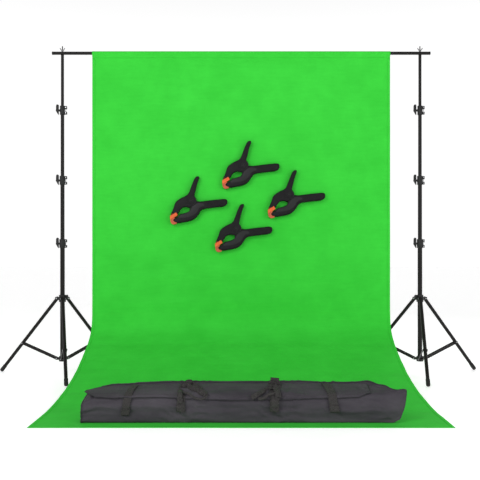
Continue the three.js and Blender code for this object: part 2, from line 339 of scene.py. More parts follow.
def turned(name, profile, material, sides=SIDES):
    """A turned fitting about its own Z from (radius, z) pairs, closed at both ends."""
    verts, faces = [], []
    for radius, z in profile:
        for k in range(sides):
            a = 2 * math.pi * k / sides
            verts.append((radius * math.cos(a), radius * math.sin(a), z))
    for ring in range(len(profile) - 1):
        for k in range(sides):
            n = (k + 1) % sides
            a, b = ring * sides, (ring + 1) * sides
            faces.append((a + k, a + n, b + n, b + k))
    faces.append(tuple(reversed(range(sides))))
    faces.append(tuple(range((len(profile) - 1) * sides, len(profile) * sides)))
    return mesh_object(name, verts, faces, material, smooth=False)


def point_along(obj, place, axis):
    """Moves a fitting made about Z so that its base is at place and its Z along axis."""
    obj.matrix_world = Matrix.Translation(place) @ axis.to_track_quat("Z", "Y").to_matrix().to_4x4()
    return obj


def merge(name, objects):
    """Joins several mesh objects into one, in world space."""
    made = bmesh.new()
    materials = []
    for obj in objects:
        bpy.context.view_layer.update()
        mesh = obj.data.copy()
        mesh.transform(obj.matrix_world)
        start = len(made.faces)
        made.from_mesh(mesh)
        made.faces.ensure_lookup_table()
        for face in made.faces[start:]:
            material = obj.data.materials[face.material_index]
            if material not in materials:
                materials.append(material)
            face.material_index = materials.index(material)
        bpy.data.meshes.remove(mesh)
    joined = bpy.data.meshes.new(name)
    made.to_mesh(joined)
    made.free()
    for obj in objects:
        bpy.data.objects.remove(obj)
    for material in materials:
        joined.materials.append(material)
    return linked(name, joined)


def tube_along(name, points, radius, material, resolution=4, closed=False):
    curve = bpy.data.curves.new(name, "CURVE")
    curve.dimensions = "3D"
    curve.bevel_depth = radius
    curve.bevel_resolution = resolution
    curve.use_fill_caps = True
    spline = curve.splines.new("POLY")
    spline.points.add(len(points) - 1)
    for target, point in zip(spline.points, points):
        target.co = (*point, 1)
    spline.use_cyclic_u = closed
    curve.materials.append(material)
    return bake_modifiers(linked(name, curve))


# ---- stands ----
RIVET = [(0.0052, 0), (0.0052, 0.0008), (0.0045, 0.0018), (0.003, 0.0024), (0.001, 0.0026)]


def hex_bolt(name, place, axis):
    head = turned(name, [(0.0042, 0), (0.0042, 0.003), (0.0036, 0.0036)], METAL, 6)
    return point_along(head, place, axis)


def rivet_pair(name, place, axis, reach):
    """Rivet heads on both outer faces of a clevis or a pair of strips."""
    heads = []
    for sign in (1, -1):
        head = turned(f"{name}_{sign}", RIVET, METAL, 20)
        heads.append(point_along(head, place + axis * sign * reach, axis * sign))
    return heads


def leg_lines(stand, n):
    """Leg pivot, brace pivot, outward direction and hinge axis of one leg."""
    top = joint_place(f"{stand}_leg_{n}_hinge")
    low = joint_place(f"{stand}_brace_{n}_hinge")
    axis = joint_axis(f"{stand}_leg_{n}_hinge").normalized()
    out = Vector((top.x - POLE[stand].x, top.y - POLE[stand].y, 0)).normalized()
    return top, low, out, axis


LEG_R = 0.0135
STRIP_FACE = 0.0171  # outer face of a brace's strips from the leg's middle
BRACE_ON_LEG = 0.474  # from the leg's pivot to the brace's
BRACE_LENGTH = 0.325
CAP_WALL = 0.0024


def corner_angle(a, b, d):
    """Angle between sides a and d of a triangle whose third side is b."""
    return math.acos((a * a + d * d - b * b) / (2 * a * d))


def foot_cap(name, tip, along):
    """Ribbed rubber cap pushed over the end of a leg."""
    outer = LEG_R + CAP_WALL
    groove = outer - 0.0008
    profile = [(LEG_R - 0.0005, -0.052), (outer - 0.0006, -0.0515), (outer, -0.049)]
    for k in range(5):
        z = -0.044 + k * 0.008
        profile += [(outer, z), (groove, z + 0.0015), (groove, z + 0.003), (outer, z + 0.0045)]
    profile += [(outer - 0.0002, -0.003), (outer - 0.0014, 0.0), (0.004, 0.0004)]
    return point_along(turned(name, profile, FOOT_RUBBER, 28), tip, along)


def pivot_drop(stand):
    top = joint_place(f"{stand}_leg_1_hinge")
    low = joint_place(f"{stand}_brace_1_hinge")
    return top.z - low.z


def stand_details(stand):
    leg_angle = corner_angle(BRACE_ON_LEG, BRACE_LENGTH, pivot_drop(stand))
    for n in (1, 2, 3):
        top, low, out, axis = leg_lines(stand, n)
        down = (out * math.sin(leg_angle) - Vector((0, 0, 1)) * math.cos(leg_angle)).normalized()
        elbow = top + down * BRACE_ON_LEG
        length = (top.z - LEG_R * math.sin(leg_angle)) / math.cos(leg_angle)
        tip = top + down * (length - 0.0022)
        cap = foot_cap(f"{stand}_foot_{n}", tip, down)
        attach(cap, f"{stand}_leg_{n}")
        collar_rivets = merge(f"{stand}_leg_rivet_{n}", rivet_pair("r", top, axis, STRIP_FACE))
        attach(collar_rivets, f"{stand}_leg_collar")
        brace_rivets = merge(
            f"{stand}_brace_rivet_{n}",
            rivet_pair("r", low, axis, STRIP_FACE) + rivet_pair("s", elbow, axis, STRIP_FACE),
        )
        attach(brace_rivets, f"{stand}_brace_{n}")


def collar_details(stand, n, body):
    """Bolts through the split ears of one lock collar, its slot pin and its knob's cap."""
    low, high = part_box(f"{stand}_lock_collar_{n}")
    x = high.x - 0.0085
    parts = []
    for z in (low.z + 0.0125, high.z - 0.014):
        parts.append(hex_bolt("b", Vector((x, POLE_Y - 0.009, z)), Vector((0, -1, 0))))
        parts.append(hex_bolt("c", Vector((x, POLE_Y + 0.009, z)), Vector((0, 1, 0))))
    pin = turned("p", [(0.0035, 0), (0.0035, 0.02)], METAL, 16)
    parts.append(point_along(pin, Vector((x, POLE_Y, low.z + 0.022)), Vector((0, 0, 1))))
    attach(merge(f"{stand}_collar_bolts_{n}", parts), body)
    knob_low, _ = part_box(f"{stand}_lock_knob_{n}")
    hub = Vector((knob_low.x, POLE_Y, joint_place(f"{stand}_lock_knob_{n}_turn").z))
    cap = turned(f"{stand}_knob_cap_{n}", [(0.0085, -0.002), (0.0085, 0.001), (0.006, 0.0018)], CASTING, 24)
    point_along(cap, hub, Vector((-1, 0, 0)))
    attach(cap, f"{stand}_lock_knob_{n}")


# Width of the rounded edges, by a word of the node's name.
EDGE_WIDTHS = {
    "lock_knob": 0.003, "leg_knob": 0.0012, "lock_collar": 0.0012, "collar": 0.0008, "wing": 0.0006,
}


def paint_cad():
    for name, node in frame["nodes"].items():
        if any(word in name for word in ("backdrop", "bag_", "arm", "_pad")):
            continue
        if "wing_nut" in name:
            material = WING_METAL
        elif "collar" in name or "knob" in name:
            material = CASTING
        else:
            material = PAINT
        node.data.materials.clear()
        node.data.materials.append(material)
        smooth_sides(node, next((size for word, size in EDGE_WIDTHS.items() if word in name), 0))


paint_cad()
for stand in STANDS:
    stand_details(stand)
    collar_details(stand, 1, "base")
    collar_details(stand, 2, f"{stand}_riser_1")
    collar_details(stand, 3, f"{stand}_riser_2")


def bar_plugs():
    """End plugs of the crossbar."""
    for node, sign in (("crossbar_left", -1), ("crossbar_right", 1)):
        low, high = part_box(node)
        end = Vector((low.x if sign < 0 else high.x, POLE_Y, BAR.z))
        profile = [(0.0105, -0.02), (0.0107, -0.0004), (0.0132, 0.0), (0.0134, 0.004), (0.012, 0.0062),
                   (0.003, 0.0068)]
        plug = turned(f"{node}_plug", profile, CASTING)
        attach(point_along(plug, end, Vector((sign, 0, 0))), "crossbar")


bar_plugs()


# ---- backdrop ----
POCKET_R = BAR_R + 0.0019
SEAM_DROP = 0.033  # pocket seam below the bar's axis
SHEET = 0.0012
LYING_Z = SHEET / 2 + 0.0002
MAX_RIPPLE = 0.0052
HEM = 0.024
HEM_LIFT = SHEET * 0.62
SEAM_Z = BAR.z - SEAM_DROP
# Mid line of the sweep, as (forward, up) from where the cloth leaves the vertical.
SWEEP = [(0, 0.49), (0.014, 0.41), (0.056, 0.34), (0.142, 0.276), (0.26, 0.223), (0.405, 0.165),
         (0.568, 0.112), (0.73, 0.072), (0.889, 0.043), (1.015, 0.027), (1.14, 0.014), (1.235, 0.006),
         (1.32, 0.0015)]


def catmull(points, steps):
    """Points on a smooth curve through the given ones."""
    out = []
    for i in range(len(points) - 1):
        p0, p1 = points[max(i - 1, 0)], points[i]
        p2, p3 = points[i + 1], points[min(i + 2, len(points) - 1)]
        for k in range(steps):
            t = k / steps
            out.append(tuple(
                0.5 * (2 * b + (c - a) * t + (2 * a - 5 * b + 4 * c - d) * t * t
                       + (3 * b - a - 3 * c + d) * t ** 3)
                for a, b, c, d in zip(p0, p1, p2, p3)
            ))
    out.append(tuple(points[-1]))
    return out


def cloth_profile():
    """(y, z) points of the cloth's mid line, from the seam behind the bar to the front hem."""
    tangent = math.asin(POCKET_R / SEAM_DROP)
    line = [(POLE_Y + SHEET, SEAM_Z - 0.012), (POLE_Y + SHEET, SEAM_Z)]
    turns = 30
    for k in range(turns + 1):
        a = -tangent + (math.pi + 2 * tangent) * k / turns
        line.append((POLE_Y + POCKET_R * math.cos(a), BAR.z + POCKET_R * math.sin(a)))
    line.append((POLE_Y, SEAM_Z))
    drop = 96
    for k in range(1, drop):
        line.append((POLE_Y, SEAM_Z + (SWEEP_TOP - SEAM_Z) * k / drop))
    for w, z in catmull(SWEEP, 6):
        line.append((POLE_Y - w, max(z, 0) + SHEET / 2 + 0.0002))
    flat = CLOTH_LOW.y
    start = line[-1][0]
    line += [(start + (flat - start) * k / 14, LYING_Z) for k in range(1, 15)]
    return line


PROFILE = cloth_profile()


def lengths_along(line):
    total, out = 0.0, [0.0]
    for a, b in zip(line, line[1:]):
        total += math.dist(a, b)
        out.append(total)
    return out


ALONG = lengths_along(PROFILE)
CLOTH_LENGTH = ALONG[-1]


def profile_at(s):
    """Point and forward normal of the mid line at length s."""
    s = min(max(s, 0), CLOTH_LENGTH)
    k = next(i for i in range(len(ALONG) - 1) if ALONG[i + 1] >= s - 1e-9)
    t = (s - ALONG[k]) / max(ALONG[k + 1] - ALONG[k], 1e-9)
    (y0, z0), (y1, z1) = PROFILE[k], PROFILE[k + 1]
    step = Vector((y1 - y0, z1 - z0)).normalized()
    return y0 + (y1 - y0) * t, z0 + (z1 - z0) * t, Vector((step.y, -step.x))


def field(x, y, z):
    return noise.noise(Vector((x, y, z)))


def smooth(a, b, x):
    t = min(max((x - a) / (b - a), 0), 1)
    return t * t * (3 - 2 * t)


def ripple(x, s, z):
    """How far the cloth stands forward of its mid line."""
    hang = smooth(SEAM_Z - 0.01, SEAM_Z - 0.4, z)
    billow = field(x * 1.3, 3.1, s * 0.45) * 0.0026 * hang
    low = smooth(1.35, 0.75, z) * (0.35 + 0.65 * smooth(0.0, 0.06, z))
    bands = field(x * 0.9, 7.7, s * 15) * 0.0034
    bands += field(x * 2.1, 1.3, s * 34) * 0.0013
    pucker = field(x * 34, 5.2, s * 4) * 0.0011
    near_seam = smooth(SEAM_Z - 0.11, SEAM_Z - 0.004, z) * (1 if z < SEAM_Z else 0)
    move = billow + bands * low + pucker * near_seam
    edge = smooth(CLOTH_HALF, CLOTH_HALF - 0.2, abs(x - MID_X))
    curl = (1 - edge) * field(2.2, x, s * 3.5) * 0.004 * hang
    move += curl
    raised = smooth(0.0, 0.05, z)
    move = move * raised + max(move, 0) * (1 - raised)
    return max(min(move, MAX_RIPPLE), -MAX_RIPPLE)


def cloth_point(x, s, lift=0.0):
    y, z, normal = profile_at(s)
    out = ripple(x, s, z) + lift
    return (x, y + normal.x * out, max(z + normal.y * out, SHEET / 2))


def cloth_patch(name, xs, rows, material, lift=0.0):
    verts = [cloth_point(x, s, lift) for s in rows for x in xs]
    return mesh_object(name, verts, grid_faces(len(xs) - 1, len(rows) - 1), material)


def spread(low, high, count):
    return [low + (high - low) * k / count for k in range(count + 1)]


def fold_with_bar(obj):
    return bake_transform(obj)


def make_backdrop():
    left, right = MID_X - CLOTH_HALF + 0.001, MID_X + CLOTH_HALF - 0.001
    cloth = cloth_patch("backdrop_cloth", spread(left, right, 120), ALONG, GREEN)
    cloth = thicken(cloth, SHEET)
    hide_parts("backdrop_drop", "backdrop_sweep")
    seam_s = next(s for s, point in zip(ALONG, PROFILE) if s > 0.06 and abs(point[1] - SEAM_Z) < 1e-6)
    rows = [s for s in ALONG if seam_s <= s <= CLOTH_LENGTH - HEM]
    strips = []
    for low, high in ((left, left + HEM), (right - HEM, right)):
        strips.append(cloth_patch("hem", spread(low, high, 3), rows, GREEN_HEM_SHADED, HEM_LIFT))
    front = [CLOTH_LENGTH - HEM + HEM * k / 3 for k in range(4)]
    strips.append(cloth_patch("hem", spread(left, right, 120), front, GREEN_HEM_SHADED, HEM_LIFT))
    # The strip just below the pocket seam uses the darker hem cloth: painted shade below the seam.
    seam = [seam_s + 0.001 + 0.006 * k / 3 for k in range(4)]
    strips.append(cloth_patch("hem", spread(left, right, 240), seam, GREEN_HEM_SHADED, SHEET * 0.8))
    hems = thicken(merge("backdrop_hems", strips), SHEET * 0.4)
    stitches = make_stitches(left, right, seam_s)
    for piece in (cloth, hems, stitches):
        fold_with_bar(piece)


def make_stitches(left, right, seam_s):
    """Short thread dashes along the pocket seam and the side hems."""
    verts, faces = [], []

    def dash(a, b):
        for x, s in (a, b):
            for move in (-0.0005, 0.0005):
                verts.append(cloth_point(x + move, s + move, SHEET))
        k = len(verts) - 4
        faces.append((k, k + 1, k + 3, k + 2))

    for k in range(int((right - left) / 0.012)):
        x = left + 0.012 * k + 0.003
        dash((x, seam_s + 0.0042), (x + 0.007, seam_s + 0.0042))
    for x in (left + HEM - 0.003, right - HEM + 0.003):
        for k in range(int((CLOTH_LENGTH - seam_s) / 0.014)):
            s = seam_s + 0.01 + 0.014 * k
            dash((x, s), (x, min(s + 0.008, CLOTH_LENGTH - 0.001)))
    stitches = mesh_object("backdrop_stitches", verts, faces, GREEN_HEM_SHADED)
    return thicken(stitches, 0.0005)


make_backdrop()


# ---- spring clamps ----
UPPER_ARM = [(63, 187), (59, 191), (43, 190), (31, 180), (19, 157), (6, 126), (-9, 86), (-21, 58), (-34, 43),
             (-50, 34), (-72, 24), (-95, 10), (-114, -4), (-126, -19), (-135, -45), (-148, -80), (-160, -116),
             (-152, -122), (-136, -114), (-116, -104), (-104, -100), (-93, -84), (-82, -67), (-64, -55),
             (-42, -51), (-24, -54), (-13, -58), (8, -40), (26, -24), (30, 0), (25, 40), (34, 78), (46, 130)]
LOWER_ARM = [(34, -8), (78, -7), (150, 2), (221, 9), (268, 12), (282, 7), (287, -8), (280, -32), (260, -45),
             (203, -53), (150, -60), (107, -66), (89, -72), (75, -84), (61, -105), (46, -126), (29, -143),
             (7, -156), (-25, -166), (-64, -173), (-98, -179), (-114, -176), (-128, -169), (-138, -156),
             (-134, -146), (-122, -137), (-107, -128), (-86, -109), (-68, -103), (-43, -96), (-21, -87),
             (-12, -77), (-9, -62), (-2, -38), (16, -22)]
LOWER_FLANGE = [(276, 0), (282, -14), (276, -30), (258, -40), (203, -48), (150, -55), (107, -60), (84, -68),
                (69, -80), (55, -101), (41, -121), (25, -137), (4, -149), (-27, -159), (-65, -166),
                (-98, -171)]
LOWER_WEB = [(-104, -128), (-84, -116), (-62, -107), (-40, -99), (-16, -89), (0, -68), (18, -42), (42, -25),
             (92, -24), (104, -38), (78, -50), (60, -66), (48, -88), (28, -108), (0, -124), (-34, -132),
             (-72, -137), (-100, -137)]
UPPER_PAD = [(-166, -121), (-119, -94), (-107, -113), (-113, -121), (-146, -140), (-152, -146), (-165, -146)]
LOWER_PAD = [(-165, -147), (-150, -147), (-143, -140), (-130, -133), (-128, -138), (-139, -149), (-141, -158),
             (-131, -169), (-115, -173), (-112, -181), (-126, -187), (-143, -189), (-155, -181), (-162, -168)]
BOSS = 42 * MM  # radius of the round plates at the pivot
DEPTH = CLAMP_BACK - CLAMP_FRONT
CHEEK = 16 * MM
SPLIT = DEPTH - CHEEK  # where the two arms meet at the pivot, in front of the back face
FRONT = DEPTH + 1.2 * MM
ARM_EDGE = 4 * MM
RIM = 2.6 * MM
RIB = 1.3 * MM


def outline_curve(name, outline, half_depth, edge, material, inset=0.0, fill=True, handle="AUTO"):
    """A rounded plate, or a rounded rim when fill is off, from an XZ outline, facing -Y."""
    curve = bpy.data.curves.new(name, "CURVE")
    curve.dimensions = "2D"
    curve.fill_mode = "BOTH" if fill else "NONE"
    curve.extrude = half_depth
    curve.bevel_depth = edge
    curve.bevel_resolution = 3
    curve.offset = -inset
    area = sum(x0 * z1 - x1 * z0 for (x0, z0), (x1, z1) in zip(outline, outline[1:] + outline[:1]))
    spline = curve.splines.new("BEZIER")
    spline.bezier_points.add(len(outline) - 1)
    for target, (x, z) in zip(spline.bezier_points, outline if area < 0 else outline[::-1]):
        target.co = (x * MM, z * MM, 0)
        target.handle_left_type = target.handle_right_type = handle
    spline.use_cyclic_u = True
    spline.resolution_u = 5
    curve.materials.append(material)
    obj = linked(name, curve)
    obj.matrix_world = FACING
    bpy.context.view_layer.update()
    return bake_modifiers(obj)


def drum(name, radius, back, front, material, edge=0.0):
    """A disc about Y between two depths, given in front of the clamp's back face."""
    profile = [(radius - edge, back), (radius, back + edge), (radius, front - edge), (radius - edge, front)]
    disc = turned(name, profile, material, 56)
    disc.matrix_world = FACING
    bpy.context.view_layer.update()
    return disc


def carve(obj, tool):
    cut = obj.modifiers.new("cut", "BOOLEAN")
    cut.operation = "DIFFERENCE"
    cut.object = tool
    cut.solver = "EXACT"
    bake_modifiers(obj)
    bpy.data.objects.remove(tool)
    return obj


def settle(obj, depth):
    """Moves a piece made about the mid depth to that depth in front of the back face."""
    obj.matrix_world = Matrix.Translation((0, -depth, 0)) @ obj.matrix_world
    bpy.context.view_layer.update()
    return obj


def relief(points, depth, thick, material=None):
    """A rounded rib on the front face along XZ points in millimetres."""
    path = [(x * MM, -depth, z * MM) for x, z in catmull(points, 5)]
    return tube_along("g", path, thick, material or CLAMP_NYLON)


def arm_body(outline, tool):
    """An arm's moulded plate, cut by a tool round the pivot."""
    plate = outline_curve("plate", outline, DEPTH / 2 - ARM_EDGE, ARM_EDGE, CLAMP_NYLON, inset=ARM_EDGE)
    return carve(settle(plate, DEPTH / 2), tool)


def arm_rim(outline):
    rim = outline_curve("rim", outline, 0.0, RIM, CLAMP_NYLON, inset=5 * MM, fill=False)
    return settle(rim, DEPTH - 0.6 * MM)


def cutter(back, front):
    return drum("cutter", BOSS + 1.5 * MM, back, front, CLAMP_NYLON)


def upper_arm(name):
    """The bow jaw's arm, with its cheek, hub ring, radial ribs and grip ribs."""
    cheek = drum("cheek", BOSS, SPLIT + 0.2 * MM, DEPTH + 1.4 * MM, CLAMP_NYLON, 3 * MM)
    details = [arm_body(UPPER_ARM, cutter(-MM, SPLIT)), cheek, arm_rim(UPPER_ARM)]
    hub = [(15 * MM * math.cos(a), -FRONT, 15 * MM * math.sin(a)) for a in spread(0, 2 * math.pi, 40)[:-1]]
    # Hub ring and boss arc in the lighter nylon: painted highlights.
    details.append(tube_along("hub", hub, 1.8 * MM, CLAMP_NYLON_LIT, closed=True))
    arc = [(39 * math.cos(a), 39 * math.sin(a)) for a in spread(math.radians(-135), math.radians(15), 12)]
    details.append(relief(arc, DEPTH + 0.2 * MM, RIM, CLAMP_NYLON_LIT))
    for k in range(8):
        a = math.radians(150 + 16 * k)
        details.append(relief([(r * math.cos(a), r * math.sin(a)) for r in (20, 28, 36)], FRONT, 1.0 * MM))
    for k in range(9):
        z = 92 + 9 * k
        x = 18 + (z - 92) * 0.3
        details.append(relief([(x - 10, z), (x + 10, z - 2)], DEPTH - 0.4 * MM, RIB))
    return merge(f"{name}_upper_body", details)


def pivot_pin(name):
    profile = [(8 * MM, 0), (8 * MM, 2.4 * MM), (6.5 * MM, 3.2 * MM), (4 * MM, 3.2 * MM),
               (3.4 * MM, 1.4 * MM), (0.6 * MM, 1.4 * MM)]
    pin = turned(f"{name}_pin", profile, CASTING, 28)
    pin.matrix_world = Matrix.Translation((0, -FRONT, 0)) @ FACING
    return pin


def lower_arm(name):
    """The S-shaped jaw's arm, with its tongue, web, flange and grip ribs."""
    tongue = drum("tongue", BOSS, 0.5 * MM, SPLIT - 0.2 * MM, CLAMP_NYLON, 2 * MM)
    details = [arm_body(LOWER_ARM, cutter(SPLIT - 0.2 * MM, DEPTH + 2 * MM)), tongue]
    details.append(carve(arm_rim(LOWER_ARM), cutter(SPLIT - 0.2 * MM, DEPTH + 4 * MM)))
    # Web panel in the lighter nylon: painted light on its face.
    web = outline_curve("web", LOWER_WEB, 0.6 * MM, 0.4 * MM, CLAMP_NYLON_LIT)
    details.append(carve(settle(web, DEPTH + 0.2 * MM), cutter(SPLIT, DEPTH + 6 * MM)))
    details.append(relief(LOWER_FLANGE, DEPTH - 0.5 * MM, 5.2 * MM))
    for k in range(11):
        x = 128 + 12 * k
        slope = (x - 128) * 0.06
        details.append(relief([(x - 1, -14 + slope), (x + 2, -38 + slope)], DEPTH + 0.6 * MM, RIB))
    return merge(f"{name}_lower_body", details)


def jaw_pad(name, outline, rubber):
    """A pad with four ridges across its face."""
    pad = outline_curve("pad", outline, DEPTH / 2 + MM, 1.6 * MM, rubber, inset=1.2 * MM, handle="VECTOR")
    ridges = [settle(pad, DEPTH / 2 + MM)]
    low, high = min(z for x, z in outline), max(z for x, z in outline)
    left = min(x for x, z in outline)
    for k in range(4):
        z = low + (high - low) * (0.28 + 0.16 * k)
        x = left + 4 + k * 2
        ridges.append(relief([(x + 1, z), (x + 9, z + 3)], DEPTH + 3.2 * MM, 0.9 * MM, rubber))
    return merge(name, ridges)


def build_clamp(name):
    upper, pin, lower = upper_arm(name), pivot_pin(name), lower_arm(name)
    pads = [
        jaw_pad(f"{name}_upper_pad", UPPER_PAD, PAD_RUBBER),
        # The lower pad takes the darker rubber: painted shade under the upper jaw.
        jaw_pad(f"{name}_lower_pad", LOWER_PAD, PAD_RUBBER_SHADED),
    ]
    pivot = joint_place(f"{name}_open")
    place = Matrix.Translation((pivot.x, CLAMP_BACK, pivot.z))
    for obj in (upper, lower, pin, *pads):
        obj.matrix_world = place @ obj.matrix_world
    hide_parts(f"{name}_upper_arm")
    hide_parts(f"{name}_lower_arm")
    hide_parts(f"{name}_pad")
    slots = {"upper_arm": (upper, pin), "lower_arm": (lower,), "pad": pads}
    for slot, pieces in slots.items():
        for obj in pieces:
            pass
    for obj in (upper, pin, pads[0]):
        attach(obj, f"{name}_jaw")
    for obj in (lower, pads[1]):
        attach(obj, name)
    for obj in (upper, lower, *pads):
        shade(obj, 40)


for clamp in CLAMPS:
    build_clamp(clamp)


# ---- carry bag ----
BAG_L = BAG_HIGH.x - BAG_LOW.x
BAG_H = BAG_HIGH.z - BAG_LOW.z
BAG_D = BAG_HIGH.y - BAG_LOW.y


def along_table(table, x):
    for (x0, v0), (x1, v1) in zip(table, table[1:]):
        if x <= x1:
            return v0 + (v1 - v0) * smooth(x0, x1, x)
    return table[-1][1]


# The bag's outline across it, as (depth from the front, height), from the back over the top to the front.
SECTION = [(0.97, 0.01), (1.0, 0.12), (1.0, 0.5), (0.996, 0.88), (0.968, 1.02), (0.91, 1.055), (0.85, 1.03),
           (0.79, 0.985), (0.745, 0.972), (0.6, 0.95), (0.42, 0.915), (0.24, 0.865), (0.1, 0.795),
           (0.045, 0.69), (0.012, 0.57), (0.0, 0.5), (0.006, 0.38), (0.008, 0.16), (0.022, 0.03),
           (0.07, 0.0), (0.5, 0.0), (0.9, 0.0), (0.97, 0.01)]
# Height of its top and underside and its depth, as shares of the whole, along its length.
TOP = [(0, 0.66), (0.013, 0.77), (0.03, 0.86), (0.053, 0.93), (0.08, 0.955), (0.13, 0.975), (0.24, 1.0),
       (0.85, 1.0), (0.905, 1.035), (0.935, 0.985), (0.968, 0.93), (1, 0.985)]
UNDERSIDE = [(0, 0.0), (0.958, 0.0), (0.978, 0.09), (0.993, 0.4), (1, 0.86)]
DEEP = [(0, 0.62), (0.02, 0.84), (0.07, 0.97), (0.5, 1.0), (0.895, 0.97), (0.93, 0.62), (0.96, 0.22),
        (0.98, 0.1), (1, 0.06)]
CAMERA_BACK, CAMERA_HEIGHT = 5.62, 0.974  # metres in front of the poles and above the floor
STRAP_X = [MID_X + v for v in (-0.642, -0.342, 0.186, 0.513)]
BAG_X = BAG_LOW.x + 0.002
BAG_SPAN = BAG_L - 0.004
WEB_THICK = 0.0024
PIPE_R = 0.0024
THREAD_THICK = 0.0006
OUTLINE_STEPS = 360


def even_section():
    """The outline resampled to equal steps of its real length."""
    line = catmull(SECTION, 12)
    run = lengths_along([(d * BAG_D, h * BAG_H) for d, h in line])
    out, k = [], 0
    for n in range(OUTLINE_STEPS + 1):
        at = run[-1] * n / OUTLINE_STEPS
        while k < len(run) - 2 and run[k + 1] < at:
            k += 1
        t = (at - run[k]) / max(run[k + 1] - run[k], 1e-9)
        out.append(tuple(a + (b - a) * t for a, b in zip(line[k], line[k + 1])))
    return out


EVEN = even_section()


def section_at(t):
    t = (t % 1.0) * OUTLINE_STEPS
    k = int(t)
    return tuple(a + (b - a) * (t - k) for a, b in zip(EVEN[k], EVEN[min(k + 1, OUTLINE_STEPS)]))


def front_share(height):
    """Place on the outline where its front passes a height share."""
    return next(n / OUTLINE_STEPS for n, (d, h) in enumerate(EVEN) if d < 0.5 and h <= height)


HINGE_T = next(n / OUTLINE_STEPS for n, (d, h) in enumerate(EVEN) if d <= 0.745)


def fold_line(v):
    """A crease: sharp crests where the noise crosses zero."""
    return 0.5 - min(abs(v) * 2.4, 1.0)


def wrinkle(x, d, h):
    z = h * BAG_H
    moves = field(x * 1.5, 0.3, z * 24) * 0.0085
    moves += fold_line(field(x * 2.6 + z * 3, 4.1, z * 17 + x * 1.2)) * 0.0042
    moves += field(x * 9, d * 5, z * 36) * 0.0022
    for strap in STRAP_X[1:3]:
        aside = x - strap
        near = math.exp(-((aside - 0.04) / 0.13) ** 2)
        creases = field(aside * 14 + z * 16, 8.8, z * 20 - aside * 7)
        moves += near * fold_line(creases) * 0.0075
    for strap in (STRAP_X[0], STRAP_X[3]):
        near = math.exp(-((x - strap) / 0.08) ** 2)
        moves += near * fold_line(field(x * 18 + z * 12, 2.8, z * 12)) * 0.004
    right = smooth(MID_X + 0.5, MID_X + 0.8, x)
    moves += right * fold_line(field(x * 8 + z * 15, 6.6, z * 16 - x * 3)) * 0.007
    left = 1 - smooth(MID_X - 0.88, MID_X - 0.7, x)
    moves += left * fold_line(field(x * 9 - z * 10, 1.9, z * 14 + x * 4)) * 0.0055
    return moves * 1.25 * (0.25 + 0.75 * smooth(0.0, 0.12, h))


def bag_skin(u, t, lift=0.0):
    """Point of the bag's skin: u along its length, t round its outline."""
    x = BAG_X + BAG_SPAN * u
    d, h = section_at(t)
    da, ha = section_at(t - 0.004)
    db, hb = section_at(t + 0.004)
    tangent = Vector((0, (db - da) * BAG_D, (hb - ha) * BAG_H)).normalized()
    outward = Vector((0, tangent.z, -tangent.y))
    if outward.y * (d - 0.5) + outward.z * (h - 0.5) < 0:
        outward = -outward
    deep = along_table(DEEP, u)
    low, top = along_table(UNDERSIDE, u), along_table(TOP, u)
    y = BAG_LOW.y + 0.006 + d * (BAG_D - 0.008) * deep
    z = BAG_LOW.z + BAG_H * (low + h * (top - low))
    p = Vector((x, y, z)) + outward * (wrinkle(x, d, h) * min(deep * 2.5, 1) + lift)
    p.z = max(p.z, BAG_LOW.z + 0.0004)
    return p


def make_bag_body():
    columns, rows = 230, 110
    verts, faces = [], []
    for i in range(columns + 1):
        for j in range(rows):
            verts.append(bag_skin(i / columns, j / rows))
    for i in range(columns):
        for j in range(rows):
            n = (j + 1) % rows
            faces.append((i * rows + j, (i + 1) * rows + j, (i + 1) * rows + n, i * rows + n))
    for i, order in ((0, 1), (columns, -1)):
        middle = sum((verts[i * rows + j] for j in range(rows)), Vector()) / rows
        middle.x += 0.006 * order
        verts.append(middle)
        hub = len(verts) - 1
        for j in range(rows):
            a, b = i * rows + j, i * rows + (j + 1) % rows
            faces.append((hub, a, b) if order > 0 else (hub, b, a))
    body = mesh_object("bag_shell", verts, faces, NYLON)
    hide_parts("bag_body")
    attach(body, "base")
    ring = [bag_skin(0.004, k / 90, 0.001) for k in range(90)]
    piping = [tube_along("piping", ring, PIPE_R, BINDING, closed=True)]
    seam = [bag_skin(0.004 + 0.99 * k / 200, HINGE_T - 0.034, 0.0012) for k in range(201)]
    piping.append(tube_along("piping", seam, 0.0022, BINDING))
    piping = merge("bag_piping", piping)
    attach(piping, "base")


FLAP_LEFT, FLAP_RIGHT = MID_X - 0.905, MID_X + 0.74
FLAP_EDGE = [(-0.905, 0.905), (-0.877, 0.86), (-0.82, 0.8), (-0.7, 0.775), (-0.45, 0.755), (-0.2, 0.70),
             (0.0, 0.675), (0.25, 0.70), (0.5, 0.735), (0.66, 0.76), (0.74, 0.83)]


def flap_point(a, b, lift=0.006):
    """Point of the flap: a along it, b from its hinge line to its front edge."""
    x = FLAP_LEFT + (FLAP_RIGHT - FLAP_LEFT) * a
    u = (x - BAG_X) / BAG_SPAN
    edge = front_share(along_table(FLAP_EDGE, x - MID_X))
    pinch = min(max((MID_X - 0.79 - x) / 0.115, 0), 1)
    share = math.sqrt(max(1 - pinch * pinch, 0.0009))
    t = edge + (HINGE_T - edge) * (1 - b) * share
    p = bag_skin(max(u, 0.10), t, lift)
    p.x = x
    p.z -= 0.004 * pinch
    lip = smooth(0.82, 1.0, b)
    gape = 1 - smooth(MID_X - 0.86, MID_X - 0.4, x)
    p.y -= (0.0045 + 0.009 * gape + 0.004 * field(x * 6, 0, 9.1)) * lip
    p.y += 0.012 * pinch * lip
    return p


